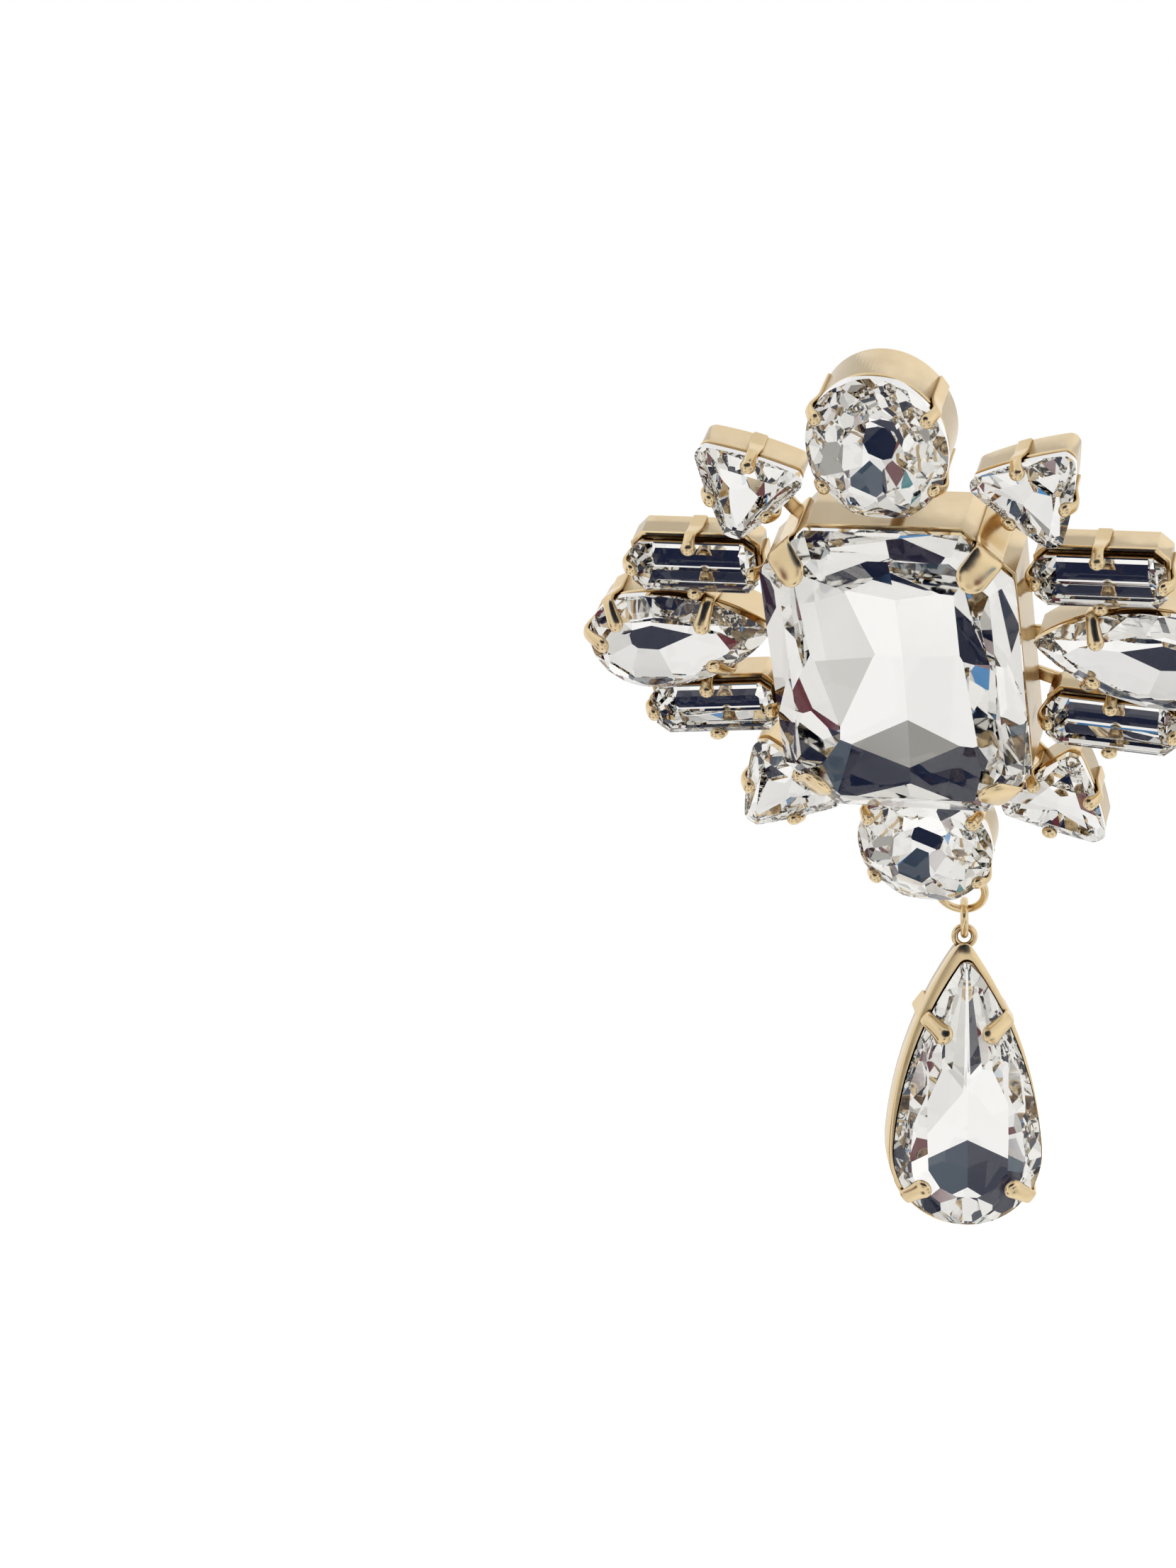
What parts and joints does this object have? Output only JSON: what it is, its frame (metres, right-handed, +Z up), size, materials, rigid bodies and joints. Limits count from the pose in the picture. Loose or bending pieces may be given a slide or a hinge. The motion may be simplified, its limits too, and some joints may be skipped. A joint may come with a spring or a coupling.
{
  "type": "chandelier earring",
  "caption": "Chandelier earring: a fan of cut stones in soldered claw cups round a large cut-corner stone, with an ear post and a pear drop on a jump ring.",
  "frame": {"origin": "where the ear post leaves the flat back of the cluster, on the post's axis; the earring is held up there", "axes": "+Z up, the wearer's front towards -Y, +X to the right as seen from the front; the cluster leans forward 36 degrees on its post and the drop hangs in balance below it, its face leaning 9.6 degrees"},
  "size_m": [0.0637, 0.0496, 0.0862],
  "materials": {
    "gold": "polished pale champagne gold plating",
    "crystal": "clear cut glass with silver foil behind"
  },
  "bodies": {
    "cluster": {"cluster_setting": "gold", "top_stone": "crystal", "centre_stone": "crystal", "bottom_stone": "crystal", "trillion_upper_left": "crystal", "trillion_upper_right": "crystal", "trillion_lower_left": "crystal", "trillion_lower_right": "crystal", "baguette_upper_left": "crystal", "baguette_upper_right": "crystal", "baguette_lower_left": "crystal", "baguette_lower_right": "crystal", "pear_left": "crystal", "pear_right": "crystal"},
    "ring": {"jump_ring": "gold"},
    "drop": {"drop_setting": "gold", "drop_stone": "crystal"}
  },
  "joints": [
    {"name": "ring_swing", "type": "hinge", "parent": "cluster", "child": "ring", "pos_m": [-0.0015, 0.03247, -0.04537], "axis": [1, 0, 0], "range_deg": [-40, 60]},
    {"name": "drop_swing", "type": "hinge", "parent": "ring", "child": "drop", "pos_m": [-0.0015, 0.03247, -0.04797], "axis": [-0.2588, 0.9659, 0], "range_deg": [-45, 45]}
  ]
}
